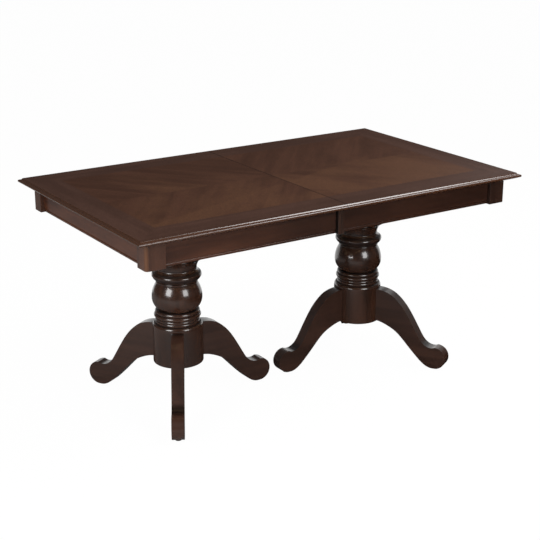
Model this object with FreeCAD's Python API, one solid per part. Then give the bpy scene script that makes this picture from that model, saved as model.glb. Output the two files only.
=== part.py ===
import FreeCAD, Part
import math
import os

# Extending dining table on two turned pedestals, modelled closed.
# Millimetres. X runs along the table, Y across it, Z up, with the floor at zero under the table's middle.
# The left half (low X) and the right half slide apart on geared slides and each stands on its own pedestal.

os.makedirs("parts", exist_ok=True)
V = FreeCAD.Vector
X_AXIS = V(1, 0, 0)
Y_AXIS = V(0, 1, 0)
Z_AXIS = V(0, 0, 1)
LEFT, RIGHT = -1, 1
FRONT, BACK = -1, 1
SIDE_NAMES = {LEFT: "left", RIGHT: "right"}
FACE_NAMES = {FRONT: "front", BACK: "back"}

# Driving dimensions of the whole table
table_length = 1524.0
table_width = 914.0
table_height = 762.0
leaf_length = 457.0
seam_gap = 0.6

# Top panels and their moulded edge
top_thickness = 22.0
edge_inset = 12.5
edge_step = 1.5
hollow_sag = 1.2
nose_radius = 5.0
nose_middle_drop = 10.5
nose_top_turn = 60.0
nose_foot_turn = 70.0
underside_inset = 18.0
pin_radius = 5.0
pin_depth = 20.0
pin_reach = 14.0
pin_clearance = 0.4
pin_end_clearance = 2.0
pin_place_shares = (-0.72, 0.0, 0.72)

# Aprons, corner posts and seam blocks
overhang = 40.0
apron_height = 87.0
apron_thickness = 20.0
apron_recess = 14.0
band_height = 13.0
band_inset = 4.0
bead_radius = 2.5
post_length = 69.0
post_depth = 56.0
post_corner_radius = 12.0
seam_block_length = 11.5

# Glue blocks behind the aprons
glue_block_size = 18.0
glue_block_length = 70.0
side_block_shares = (0.22, 0.55, 0.85)
end_block_shares = (-0.6, 0.0, 0.6)

# Boards and cleats under the top
board_thickness = 28.0
board_leaf_gap = 11.5
board_end_gap = 148.0
board_side_gap = 15.0
cleat_width = 45.0
cleat_height = 28.0
cleat_gap = 20.0

# Turned column, as radii in shares of the drum's radius and heights in shares of the turned length
column_foot_height = 151.5
column_radius = 88.0
drum_height = 133.0
turned_height = 249.5
drum_round = 3.5
shaft_radius = 74.0
hollow_radius = 50.0
hollow_depth = 105.0
shoulder_shares = ((1.0, -0.07), (0.999, -0.034), (0.997, -0.002), (0.984, 0.028), (0.935, 0.048), (0.893, 0.053))
lower_bead_shares = ((0.868, 0.053), (0.885, 0.074), (0.859, 0.094))
upper_bead_shares = ((0.859, 0.094), (0.877, 0.112), (0.852, 0.131))
middle_ring_shares = ((0.852, 0.131), (0.927, 0.162), (0.859, 0.193))
small_ring_shares = ((0.859, 0.193), (0.884, 0.218), (0.795, 0.245))
bulb_foot_shares = (0.736, 0.246)
bulb_share = 0.995
bulb_middle_share = 0.42
bulb_top_shares = (0.807, 0.635)
neck_shares = (0.79, 0.639)
neck_bead_shares = ((0.801, 0.639), (0.832, 0.654), (0.795, 0.668))
neck_ring_shares = ((0.786, 0.673), (0.889, 0.689), (0.955, 0.721))
upper_ring_shares = ((0.955, 0.721), (0.981, 0.747), (0.955, 0.774))
ring_top_shares = ((0.886, 0.796), (0.839, 0.81), (0.807, 0.824), (0.795, 0.834))
throat_shares = (0.795, 0.84)
flare_shares = ((0.875, 0.935), (1.091, 1.0))

# Legs, as reaches in shares of the leg's reach past the column and heights in shares of the leg's height
leg_thickness = 43.0
leg_top_gap = 2.5
leg_seat_gap = 0.3
leg_overlap = 30.0
inner_feet_gap = 44.0
foot_radius = 42.0
glide_radius = 11.0
glide_height = 4.0
glide_inset = 43.0
leg_top_shares = (
    (0.097, 0.99),
    (0.206, 0.951),
    (0.292, 0.888),
    (0.382, 0.794),
    (0.466, 0.674),
    (0.541, 0.548),
    (0.603, 0.441),
    (0.66, 0.359),
    (0.729, 0.31),
    (0.801, 0.297),
)
leg_under_shares = (
    (0.762, 0.024),
    (0.664, 0.082),
    (0.585, 0.155),
    (0.473, 0.269),
    (0.372, 0.375),
    (0.282, 0.452),
    (0.18, 0.507),
    (0.08, 0.545),
    (0, 0.561),
)

# Bolts that hold the legs, and the rod that holds the column to its board
leg_bolt_radius = 4.0
leg_bolt_depth = 42.0
leg_bolt_height_shares = (0.28, 0.74)
bolt_seat_radius = 55.0
bolt_pocket_radius = 10.0
bolt_tail = 3.0
hole_clearance = 0.2
nut_thickness_share = 1.6
nut_radius_share = 1.85
washer_thickness = 1.6
washer_radius_share = 2.2
tie_rod_radius = 5.0
tie_pocket_depth = 14.0
tie_pocket_radius = 13.0
tie_tail = 5.0

# Geared slides
gear_module = 3.2
pinion_teeth = 10
pressure_angle = math.radians(25.0)
addendum_share = 0.7
dedendum_share = 0.95
tooth_backlash = 0.5
flank_steps = 4
gear_thickness = 10.0
gear_side_clearance = 0.5
slot_end_clearance = 1.5
axle_radius = 4.0
axle_clearance = 0.1
rack_back = 5.0
rack_spare_teeth = 3
centre_rail_width = 24.0
rail_gap = 1.0
rail_wall = 11.0
rail_relief = 4.0
rail_foot_clearance = 1.5
rail_pad_setback = 30.0
rail_end_margin = 6.0
rail_cleat_gap = 10.0
rail_engagement = 100.0
tongue_height = 5.0
tongue_length = 7.0
tongue_rise = 6.0
tongue_clearance = 0.5
crossbar_height = 20.0
crossbar_width = 40.0
crossbar_place_share = 0.65

# Stored folding leaf
leaf_face_gap = 0.3
leaf_top_gap = 3.7
hinge_length = 60.0
hinge_leaf_height = 12.0
hinge_thickness = 2.0
hinge_barrel_radius = 3.0
hinge_place_shares = (-0.7, 0.0, 0.7)
peg_radius = 5.0
peg_depth = 12.0
peg_head_radius = 9.0
peg_head_height = 4.0
peg_clearance = 0.1

# Table locks at the seam
lock_lane = 40.0
lock_plate_width = 24.0
lock_plate_thickness = 3.0
lock_pivot_setback = 28.0
keeper_setback = 18.0
lock_pin_drop = 13.0
lock_pin_radius = 3.0
lock_pin_clearance = 0.1
lock_ear_thickness = 3.0
lock_ear_reach = 9.0
lever_thickness = 5.0
lever_side_clearance = 0.7
lever_boss_radius = 7.0
lever_bar_height = 7.4
hook_clearance = 0.7
hook_wall = 5.2
hook_rise = 4.0
finger_tab_length = 11.0
finger_tab_height = 4.0

# Places worked out from the dimensions
half_length = table_length / 2
half_width = table_width / 2
half_leaf = leaf_length / 2
half_seam = seam_gap / 2
travel = leaf_length / 2
underside = table_height - top_thickness
apron_bottom = underside - apron_height
post_face_x = half_length - overhang
post_face_y = half_width - overhang
apron_face_x = post_face_x - apron_recess
apron_face_y = post_face_y - apron_recess
apron_inner_x = apron_face_x - apron_thickness
apron_inner_y = apron_face_y - apron_thickness

pitch_radius = gear_module * pinion_teeth / 2
tooth_pitch = math.pi * gear_module
addendum = gear_module * addendum_share
dedendum = gear_module * dedendum_share
half_centre_rail = centre_rail_width / 2
lane_face = half_centre_rail + rail_gap
rack_reach = pitch_radius + dedendum + rack_back
side_rail_width = rack_reach - lane_face + rail_wall
slide_line = apron_inner_y - lock_lane - side_rail_width - lane_face
rack_run = (math.ceil(travel / tooth_pitch) + rack_spare_teeth) * tooth_pitch
rack_lead = rack_spare_teeth * tooth_pitch

rail_bottom = underside - 2 * top_thickness - leaf_face_gap - leaf_top_gap
rail_top = underside - rail_relief
gear_middle = (rail_bottom + rail_top) / 2 + gear_side_clearance
gear_channel = gear_thickness + 2 * gear_side_clearance
tongue_bottom = rail_bottom + tongue_rise
crossbar_bottom = rail_bottom - crossbar_height
crossbar_x = half_leaf * crossbar_place_share

cleat_inner = apron_inner_x - cleat_gap - cleat_width
rail_outer_end = cleat_inner - rail_cleat_gap
rail_inner_end = rack_run + rail_end_margin
centre_rail_half = travel + rail_engagement
board_inner = half_leaf + board_leaf_gap
board_outer = apron_inner_x - board_end_gap
board_half_width = slide_line - lane_face - side_rail_width - board_side_gap
board_bottom = underside - board_thickness
column_x = (board_inner + board_outer) / 2

drum_top = column_foot_height + drum_height
turned_top = drum_top + turned_height
hollow_top = column_foot_height + hollow_depth
leg_height = drum_top - leg_top_gap
leg_reach = column_x - inner_feet_gap / 2
leg_span = leg_reach - column_radius
foot_middle = leg_reach - foot_radius
glide_place = leg_reach - glide_inset
leg_angles = {
    LEFT: {"inner": 0.0, "front": -120.0, "back": 120.0},
    RIGHT: {"inner": 180.0, "front": -60.0, "back": 60.0},
}

lock_y = apron_inner_y - lock_lane / 2
lock_pin_z = underside - lock_pin_drop
lock_reach = lock_pivot_setback + keeper_setback
ear_inner = lever_thickness / 2 + lever_side_clearance


def save(name, *solids):
    """Writes one piece, or a group of like pieces, under its name."""
    shape = solids[0] if len(solids) == 1 else Part.makeCompound(list(solids))
    shape.exportStep("parts/" + name + ".step")


def block(x_range, y_range, z_range):
    """A box between two values on each axis, given in any order."""
    low = V(min(x_range), min(y_range), min(z_range))
    high = V(max(x_range), max(y_range), max(z_range))
    return Part.makeBox(high.x - low.x, high.y - low.y, high.z - low.z, low)


def around(middle, size):
    """The range of a given size about a middle."""
    return (middle - size / 2, middle + size / 2)


def rod(radius, start, end):
    """A round bar from one point to another."""
    return Part.makeCylinder(radius, (end - start).Length, start, end - start)


def hexagon(radius, start, end):
    """A six-sided bar, such as a nut, from one point to another along Z or a level line."""
    axis = (end - start).normalize()
    across = Z_AXIS if abs(axis.z) < 0.5 else X_AXIS
    points = []
    for corner in range(6):
        arm = FreeCAD.Rotation(axis, corner * 60).multVec(across)
        points.append(start + arm * radius)
    face = Part.Face(Part.makePolygon(points + [points[0]]))
    return face.extrude(end - start)


def outline_face(start, steps, place):
    """A face from an outline: a step of one point is a line, of two an arc, of more a smooth curve."""
    here = place(*start)
    edges = []
    for step in steps:
        points = [place(*point) for point in step]
        if len(points) == 1:
            edges.append(Part.LineSegment(here, points[0]).toShape())
        elif len(points) == 2:
            edges.append(Part.Arc(here, points[0], points[1]).toShape())
        else:
            curve = Part.BSplineCurve()
            curve.interpolate([here] + points)
            edges.append(curve.toShape())
        here = points[-1]
    edges.append(Part.LineSegment(here, place(*start)).toShape())
    return Part.Face(Part.Wire(edges))


def moulded_slab(out, reach, top):
    """A wide slab whose one edge, at the given reach, has a small step, a hollow and a round nose."""
    along = Z_AXIS.cross(out)

    def place(inset, drop):
        return out * (reach - inset) + Z_AXIS * (top - drop) - along * table_length

    def nose_point(degrees):
        turn = math.radians(degrees)
        return (nose_radius * (1 - math.cos(turn)), nose_middle_drop - nose_radius * math.sin(turn))

    nose_top = nose_point(nose_top_turn)
    across, down = edge_inset - nose_top[0], nose_top[1] - edge_step
    chord = math.hypot(across, down)
    hollow_middle = (
        (edge_inset + nose_top[0]) / 2 + hollow_sag * down / chord,
        (edge_step + nose_top[1]) / 2 + hollow_sag * across / chord,
    )
    face = outline_face(
        (edge_inset, 0),
        [
            [(edge_inset, edge_step)],
            [hollow_middle, nose_top],
            [nose_point(0), nose_point(-nose_foot_turn)],
            [(underside_inset, top_thickness)],
            [(table_length, top_thickness)],
            [(table_length, 0)],
        ],
        place,
    )
    return face.extrude(along * 2 * table_length)


def pin_points():
    """Where the alignment pins cross the seam."""
    return [V(0, half_width * share, underside + top_thickness / 2) for share in pin_place_shares]


def make_top(side):
    """One half of the top, moulded on three edges and bored for the alignment pins at the seam."""
    top = block((side * half_seam, side * table_length), (-table_width, table_width), (0, table_height * 2))
    for out, reach in ((Y_AXIS, half_width), (-Y_AXIS, half_width), (X_AXIS * side, half_length)):
        top = top.common(moulded_slab(out, reach, table_height))
    for point in pin_points():
        if side == LEFT:
            bore = rod(pin_radius, point - X_AXIS * pin_depth, point)
        else:
            depth = pin_reach + pin_end_clearance
            bore = rod(pin_radius + pin_clearance, point, point + X_AXIS * depth)
        top = top.cut(bore)
    save("top_" + SIDE_NAMES[side], top)


def make_alignment_pins():
    """Pins fixed in the left top's seam edge that enter the right top's bores."""
    pins = [rod(pin_radius, p - X_AXIS * pin_depth, p + X_AXIS * pin_reach) for p in pin_points()]
    save("alignment_pins", *pins)


def apron_board(out, face_at, start, end):
    """A board under the top with a flat face, and a beaded band set back along its foot."""
    along = Z_AXIS.cross(out)
    low, high = min(start, end), max(start, end)

    def place(inset, drop):
        return out * (face_at - inset) + Z_AXIS * (underside - drop) + along * low

    band_top = apron_height - band_height
    bead_middle = apron_height - band_height / 2
    face = outline_face(
        (0, 0),
        [
            [(0, band_top)],
            [(band_inset, band_top)],
            [(band_inset, bead_middle - bead_radius)],
            [(band_inset - bead_radius, bead_middle), (band_inset, bead_middle + bead_radius)],
            [(band_inset, apron_height)],
            [(apron_thickness, apron_height)],
            [(apron_thickness, 0)],
        ],
        place,
    )
    return face.extrude(along * (high - low))


def make_aprons(side):
    """The end apron between two posts, and the front and back aprons from post to seam."""
    post_inner_x = post_face_x - post_length
    post_inner_y = post_face_y - post_depth
    end = apron_board(X_AXIS * side, apron_face_x, -post_inner_y, post_inner_y)
    save("end_apron_" + SIDE_NAMES[side], end)
    for face in (FRONT, BACK):
        out = Y_AXIS * face
        along = Z_AXIS.cross(out).x
        board = apron_board(out, apron_face_y, along * side * seam_block_length, along * side * post_inner_x)
        save(FACE_NAMES[face] + "_apron_" + SIDE_NAMES[side], board)


def make_post(side, face):
    """A corner post that stands proud of the aprons, with its outer corner rounded."""
    turn = post_corner_radius * (1 - math.cos(math.radians(45.0)))

    def place(inset_x, inset_y):
        return V(side * (post_face_x - inset_x), face * (post_face_y - inset_y), apron_bottom)

    shape = outline_face(
        (0, post_corner_radius),
        [
            [(turn, turn), (post_corner_radius, 0)],
            [(post_length, 0)],
            [(post_length, post_depth)],
            [(0, post_depth)],
        ],
        place,
    )
    save("post_" + FACE_NAMES[face] + "_" + SIDE_NAMES[side], shape.extrude(Z_AXIS * apron_height))


def make_seam_block(side, face):
    """The block that ends a half's front or back apron at the seam."""
    x_range = (side * half_seam, side * seam_block_length)
    y_range = (face * apron_inner_y, face * post_face_y)
    name = "seam_block_" + FACE_NAMES[face] + "_" + SIDE_NAMES[side]
    save(name, block(x_range, y_range, (apron_bottom, underside)))


def glue_block(corner, along, inward):
    """A three-cornered block in the angle between an apron and the top."""
    start = corner - along * (glue_block_length / 2)
    points = [start, start + inward * glue_block_size, start - Z_AXIS * glue_block_size, start]
    return Part.Face(Part.makePolygon(points)).extrude(along * glue_block_length)


def make_glue_blocks(side):
    """All the glue blocks of one half."""
    blocks = []
    for face in (FRONT, BACK):
        for share in side_block_shares:
            corner = V(side * apron_inner_x * share, face * apron_inner_y, underside)
            blocks.append(glue_block(corner, X_AXIS, -Y_AXIS * face))
    for share in end_block_shares:
        corner = V(side * apron_inner_x, apron_inner_y * share, underside)
        blocks.append(glue_block(corner, Y_AXIS, -X_AXIS * side))
    save("glue_blocks_" + SIDE_NAMES[side], *blocks)


def make_cleat(side):
    """A cross cleat that keeps the top flat near its end."""
    x_range = (side * cleat_inner, side * (cleat_inner + cleat_width))
    reach = apron_inner_y - glue_block_size - cleat_gap
    z_range = (underside - cleat_height, underside)
    save("end_cleat_" + SIDE_NAMES[side], block(x_range, (-reach, reach), z_range))


def make_board(side):
    """The board under the top that carries the pedestal, bored for the tie rod and its nut."""
    y_range = (-board_half_width, board_half_width)
    board = block((side * board_inner, side * board_outer), y_range, (board_bottom, underside))
    middle = V(side * column_x, 0, 0)
    hole = rod(tie_rod_radius + hole_clearance, middle, middle + Z_AXIS * table_height)
    pocket = rod(
        tie_pocket_radius,
        middle + Z_AXIS * (underside - tie_pocket_depth),
        middle + Z_AXIS * table_height,
    )
    save("pedestal_board_" + SIDE_NAMES[side], board.cut(hole).cut(pocket))


def turned_point(shares):
    """A point of the turned outline from its radius share and height share."""
    return (column_radius * shares[0], drum_top + turned_height * shares[1])


def quarter_bulb(low, high):
    """The point half way along an arc that stands upright at its widest end."""
    wide, narrow = (low, high) if low[0] > high[0] else (high, low)
    depth = wide[0] - narrow[0]
    rise = narrow[1] - wide[1]
    radius = (depth * depth + rise * rise) / (2 * depth)
    half_angle = math.asin(min(1.0, abs(rise) / radius)) / 2
    lift = math.copysign(radius * math.sin(half_angle), rise)
    return (wide[0] - radius * (1 - math.cos(half_angle)), wide[1] + lift)


def make_column(side):
    """The turned column: drum, rings, bulb, neck and cap, hollow under the drum and bored through."""
    rings = [lower_bead_shares, upper_bead_shares, middle_ring_shares, small_ring_shares]
    shoulder = [turned_point(shares) for shares in shoulder_shares]
    round_turn = drum_round * (1 - math.cos(math.radians(45.0)))
    steps = [
        [(column_radius - drum_round, column_foot_height)],
        [
            (column_radius - round_turn, column_foot_height + round_turn),
            (column_radius, column_foot_height + drum_round),
        ],
        [shoulder[0]],
        shoulder[1:],
    ]
    here = shoulder[-1]
    for ring in rings:
        start, crest, end = [turned_point(shares) for shares in ring]
        if start != here:
            steps.append([start])
        steps.append([crest, end])
        here = end
    here = turned_point(bulb_foot_shares)
    steps.append([here])
    bulb_middle = turned_point((bulb_share, bulb_middle_share))
    bulb_top = turned_point(bulb_top_shares)
    steps.append([quarter_bulb(here, bulb_middle), bulb_middle])
    steps.append([quarter_bulb(bulb_middle, bulb_top), bulb_top])
    here = turned_point(neck_shares)
    steps.append([here])
    for ring in (neck_bead_shares, neck_ring_shares, upper_ring_shares):
        start, crest, end = [turned_point(shares) for shares in ring]
        if start != here:
            steps.append([start])
        steps.append([crest, end])
        here = end
    steps.append([turned_point(shares) for shares in ring_top_shares])
    throat = turned_point(throat_shares)
    steps.append([throat])
    steps.append([turned_point(shares) for shares in flare_shares])
    steps.append([(shaft_radius, turned_top)])
    steps.append([(shaft_radius, board_bottom)])
    steps.append([(0, board_bottom)])

    def place(radius, height):
        return V(radius, 0, height)

    column = outline_face((0, column_foot_height), steps, place).revolve(V(0, 0, 0), Z_AXIS, 360)
    floor = V(0, 0, 0)
    column = column.cut(rod(hollow_radius, floor, Z_AXIS * hollow_top))
    column = column.cut(rod(tie_rod_radius + hole_clearance, floor, Z_AXIS * table_height))
    for angle in leg_angles[side].values():
        for height in leg_bolt_heights():
            tools = [
                rod(leg_bolt_radius + hole_clearance, Z_AXIS * height, V(column_radius * 2, 0, height)),
                rod(bolt_pocket_radius, Z_AXIS * height, V(bolt_seat_radius, 0, height)),
            ]
            for tool in tools:
                tool.rotate(floor, Z_AXIS, angle)
                column = column.cut(tool)
    column.translate(V(side * column_x, 0, 0))
    save("column_" + SIDE_NAMES[side], column)


def leg_bolt_heights():
    """Heights of the two bolts of each leg."""
    return [column_foot_height + drum_height * share for share in leg_bolt_height_shares]


def leg_seat():
    """The round drum and its shoulder, wider by the gap that is left for glue."""

    def place(radius, height):
        return V(radius, 0, height)

    shoulder = []
    for shares in shoulder_shares:
        radius, height = turned_point(shares)
        shoulder.append((radius + leg_seat_gap, height))
    steps = [[(shoulder[0][0], 0)], [shoulder[0]], shoulder[1:], [(0, shoulder[-1][1])]]
    return outline_face((0, 0), steps, place).revolve(V(0, 0, 0), Z_AXIS, 360)


def leg_blank():
    """An S-shaped leg along X from the column's axis, with its end hollowed to the drum."""

    def leg_point(shares):
        return (column_radius + leg_span * shares[0], leg_height * shares[1])

    def place(reach, height):
        return V(reach, -leg_thickness / 2, height)

    root = column_radius - leg_overlap
    foot_height = glide_height + foot_radius
    upper = [leg_point(shares) for shares in leg_top_shares]
    under = [leg_point(shares) for shares in leg_under_shares]
    steps = [
        [(column_radius, leg_height)],
        upper + [(foot_middle, foot_height + foot_radius)],
        [(leg_reach, foot_height), (foot_middle, glide_height)],
        [(glide_place - glide_radius, glide_height)],
        under,
        [(root, under[-1][1])],
    ]
    leg = outline_face((root, leg_height), steps, place).extrude(Y_AXIS * leg_thickness)
    leg = leg.cut(leg_seat())
    for height in leg_bolt_heights():
        end = column_radius + leg_bolt_depth + bolt_tail
        leg = leg.cut(rod(leg_bolt_radius + hole_clearance, Z_AXIS * height, V(end, 0, height)))
    return leg


def place_at_column(shape, side, angle):
    """Turns a shape made along X about the column and sets it there."""
    placed = shape.copy()
    placed.rotate(V(0, 0, 0), Z_AXIS, angle)
    placed.translate(V(side * column_x, 0, 0))
    return placed


def nut_and_washer(radius, seat, away):
    """A washer against a seat and a nut behind it, for a bar of the given radius."""
    washer_end = seat + away * washer_thickness
    nut_end = washer_end + away * (radius * nut_thickness_share)
    washer = rod(radius * washer_radius_share, seat, washer_end)
    return washer.fuse(hexagon(radius * nut_radius_share, washer_end, nut_end))


def leg_bolt(height):
    """A bolt through the drum's wall into the leg, with its nut in the hollow."""
    seat = V(bolt_seat_radius, 0, height)
    nut_depth = washer_thickness + leg_bolt_radius * nut_thickness_share
    start = seat - X_AXIS * (nut_depth + bolt_tail)
    end = V(column_radius + leg_bolt_depth, 0, height)
    return rod(leg_bolt_radius, start, end).fuse(nut_and_washer(leg_bolt_radius, seat, -X_AXIS))


def make_legs(side):
    """Three legs, their bolts and the glides under their feet."""
    blank = leg_blank()
    bolts = []
    glides = []
    glide = rod(glide_radius, V(glide_place, 0, 0), V(glide_place, 0, glide_height))
    for name, angle in leg_angles[side].items():
        save("leg_" + SIDE_NAMES[side] + "_" + name, place_at_column(blank, side, angle))
        glides.append(place_at_column(glide, side, angle))
        for height in leg_bolt_heights():
            bolts.append(place_at_column(leg_bolt(height), side, angle))
    save("leg_bolts_" + SIDE_NAMES[side], *bolts)
    save("glides_" + SIDE_NAMES[side], *glides)


def make_tie_rod(side):
    """The rod that draws the column up to its board, with a nut at each end."""
    top_seat = Z_AXIS * (underside - tie_pocket_depth)
    bottom_seat = Z_AXIS * hollow_top
    nut_depth = washer_thickness + tie_rod_radius * nut_thickness_share
    start = bottom_seat - Z_AXIS * (nut_depth + tie_tail)
    bar = rod(tie_rod_radius, start, top_seat + Z_AXIS * nut_depth)
    bar = bar.fuse(nut_and_washer(tie_rod_radius, top_seat, Z_AXIS))
    bar = bar.fuse(nut_and_washer(tie_rod_radius, bottom_seat, -Z_AXIS))
    save("tie_rod_" + SIDE_NAMES[side], place_at_column(bar, side, 0))


def rail_lane(side, face):
    """The Y values of a side rail's inner and outer faces: left rails run outside, right rails inside."""
    outward = -side
    near = face * (slide_line + outward * lane_face)
    far = face * (slide_line + outward * (lane_face + side_rail_width))
    return near, far


def make_side_rail(side, face):
    """A slide rail fixed under one half, with a tongue for the centre rail and a channel for its rack."""
    near, far = rail_lane(side, face)
    away = math.copysign(1, far - near)
    foot = rail_bottom + rail_foot_clearance
    x_range = (side * rail_outer_end, -side * rail_inner_end)
    rail = block(x_range, (near, far), (foot, rail_top))
    pad = block((side * rail_outer_end, side * rail_pad_setback), (near, far), (rail_top - rail_relief, underside))
    tongue = block(
        x_range,
        (near + away * tongue_length, near - away * tongue_length),
        (tongue_bottom + tongue_clearance, tongue_bottom + tongue_clearance + tongue_height),
    )
    channel = block(
        (side * (rack_lead + rail_end_margin), -side * rack_run),
        (near - away * rail_gap, near + away * (rack_reach - lane_face)),
        around(gear_middle, gear_channel),
    )
    rail = rail.fuse(pad).fuse(tongue).cut(channel)
    save("rail_" + SIDE_NAMES[side] + "_" + FACE_NAMES[face], rail.removeSplitter())


def make_rack(side, face):
    """A rack seated in its rail's channel, its teeth towards the pinion."""
    near, far = rail_lane(side, face)
    away = math.copysign(1, far - near)
    middle = face * slide_line
    z_low = gear_middle - gear_channel / 2
    half_tooth = tooth_pitch / 4 - tooth_backlash / 2
    root_line = pitch_radius + dedendum
    tip_line = pitch_radius - addendum
    root_half = half_tooth + dedendum * math.tan(pressure_angle)
    tip_half = half_tooth - addendum * math.tan(pressure_angle)
    low, high = -rack_lead, rack_run
    points = [(low, rack_reach), (low, root_line)]
    for tooth in range(round((high - low) / tooth_pitch)):
        centre = low + (tooth + 1 / 2) * tooth_pitch
        points += [
            (centre - root_half, root_line),
            (centre - tip_half, tip_line),
            (centre + tip_half, tip_line),
            (centre + root_half, root_line),
        ]
    points += [(high, root_line), (high, rack_reach)]
    corners = [V(-side * along, middle + away * reach, z_low) for along, reach in points]
    rack = Part.Face(Part.makePolygon(corners + [corners[0]])).extrude(Z_AXIS * gear_channel)
    save("rack_" + SIDE_NAMES[side] + "_" + FACE_NAMES[face], rack)


def involute(angle):
    """The involute function of a pressure angle."""
    return math.tan(angle) - angle


def pinion_corners(middle, height):
    """Corners of a pinion with a tooth towards each rack."""
    base_radius = pitch_radius * math.cos(pressure_angle)
    root_radius = pitch_radius - dedendum
    tip_radius = pitch_radius + addendum
    half_pitch_angle = math.pi / (2 * pinion_teeth) - tooth_backlash / (2 * pitch_radius)
    flank = [(root_radius, half_pitch_angle + involute(pressure_angle))]
    for step in range(flank_steps + 1):
        radius = base_radius + (tip_radius - base_radius) * step / flank_steps
        turned = involute(math.acos(min(1.0, base_radius / radius)))
        flank.append((radius, half_pitch_angle + involute(pressure_angle) - turned))
    corners = []
    for tooth in range(pinion_teeth):
        centre = math.pi / 2 + 2 * math.pi * tooth / pinion_teeth
        sides = [(radius, centre - half) for radius, half in flank]
        sides += [(radius, centre + half) for radius, half in reversed(flank)]
        for radius, angle in sides:
            corners.append(middle + V(radius * math.cos(angle), radius * math.sin(angle), height))
    return corners


def make_pinion(face):
    """A pinion in the centre rail's slot, in mesh with the racks on both sides."""
    middle = V(0, face * slide_line, 0)
    corners = pinion_corners(middle, gear_middle - gear_thickness / 2)
    pinion = Part.Face(Part.makePolygon(corners + [corners[0]])).extrude(Z_AXIS * gear_thickness)
    bore = rod(axle_radius + axle_clearance, middle, middle + Z_AXIS * table_height)
    save("pinion_" + FACE_NAMES[face], pinion.cut(bore))


def make_centre_rail(face):
    """The middle rail of a slide, grooved for both tongues and slotted for its pinion."""
    y = face * slide_line
    x_range = (-centre_rail_half, centre_rail_half)
    rail = block(x_range, around(y, centre_rail_width), (rail_bottom, rail_top))
    groove_depth = tongue_length - rail_gap + tongue_clearance
    for away in (-1, 1):
        edge = y + away * half_centre_rail
        groove = block(
            x_range,
            (edge, edge - away * groove_depth),
            (tongue_bottom, tongue_bottom + tongue_height + 2 * tongue_clearance),
        )
        rail = rail.cut(groove)
    slot_half = pitch_radius + addendum + slot_end_clearance
    rail = rail.cut(block((-slot_half, slot_half), around(y, centre_rail_width * 2), around(gear_middle, gear_channel)))
    rail = rail.cut(rod(axle_radius, V(0, y, 0), V(0, y, table_height)))
    save("centre_rail_" + FACE_NAMES[face], rail)


def make_axles():
    """The pins that the pinions turn on, each fixed in its centre rail."""
    axles = [
        rod(axle_radius, V(0, face * slide_line, rail_bottom), V(0, face * slide_line, rail_top))
        for face in (FRONT, BACK)
    ]
    save("pinion_axles", *axles)


def make_crossbar(side):
    """A bar that joins the two centre rails from below and carries the stored leaf."""
    reach = slide_line + half_centre_rail
    bar = block(around(side * crossbar_x, crossbar_width), (-reach, reach), (crossbar_bottom, rail_bottom))
    start = V(side * crossbar_x, 0, 0)
    bar = bar.cut(rod(peg_radius, start, start + Z_AXIS * table_height))
    save("crossbar_" + SIDE_NAMES[side], bar)


def make_pegs():
    """Headed pegs through the crossbars that keep the stored leaf in its place."""
    pegs = []
    for side in (LEFT, RIGHT):
        foot = V(side * crossbar_x, 0, crossbar_bottom)
        peg = rod(peg_radius, foot, V(foot.x, 0, rail_bottom + peg_depth))
        pegs.append(peg.fuse(rod(peg_head_radius, foot - Z_AXIS * peg_head_height, foot)))
    save("leaf_pegs", *pegs)


def hinge_place(share):
    """The middle of one leaf hinge on the fold."""
    return V(half_leaf * share, -half_width / 2, rail_bottom + top_thickness + leaf_face_gap / 2)


def leaf_hinge(middle):
    """A hinge let in flush with the fold edges, its barrel between the two panels' faces."""
    reach = top_thickness / 2 + hinge_leaf_height / 2
    x_range = around(middle.x, hinge_length)
    plate = block(x_range, (middle.y, middle.y + hinge_thickness), (middle.z - reach, middle.z + reach))
    start = V(x_range[0], middle.y + hinge_barrel_radius, middle.z)
    return plate.fuse(rod(hinge_barrel_radius, start, start + X_AXIS * hinge_length))


def make_leaf():
    """A leaf in two hinged panels, folded face to face and lying on the crossbars."""
    panel_length = half_width
    fold = -panel_length / 2
    face_height = rail_bottom + top_thickness
    body = block((-half_leaf, half_leaf), (fold, table_width), (0, table_height))
    lower = body.common(moulded_slab(Y_AXIS, panel_length / 2, face_height))
    upper = lower.mirror(V(0, 0, face_height + leaf_face_gap / 2), Z_AXIS)
    hinges = [leaf_hinge(hinge_place(share)) for share in hinge_place_shares]
    for hinge in hinges:
        lower = lower.cut(hinge)
        upper = upper.cut(hinge)
    for side in (LEFT, RIGHT):
        start = V(side * crossbar_x, 0, rail_bottom)
        lower = lower.cut(rod(peg_radius + peg_clearance, start, start + Z_AXIS * (peg_depth + peg_clearance)))
    save("leaf_panel_lower", lower)
    save("leaf_panel_upper", upper)
    save("leaf_hinges", *hinges)


def lock_bracket(x, y):
    """A plate under the top with two ears and a cross pin."""
    plate_bottom = underside - lock_plate_thickness
    plate = block(
        around(x, lock_plate_width),
        around(y, lock_plate_width),
        (plate_bottom, underside),
    )
    for away in (-1, 1):
        ear = block(
            around(x, lock_ear_reach * 2),
            (y + away * ear_inner, y + away * (ear_inner + lock_ear_thickness)),
            (lock_pin_z - lock_ear_reach, plate_bottom),
        )
        plate = plate.fuse(ear)
    pin_half = ear_inner + lock_ear_thickness + lock_pin_clearance
    pin = rod(lock_pin_radius, V(x, y - pin_half, lock_pin_z), V(x, y + pin_half, lock_pin_z))
    return plate.fuse(pin)


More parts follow.
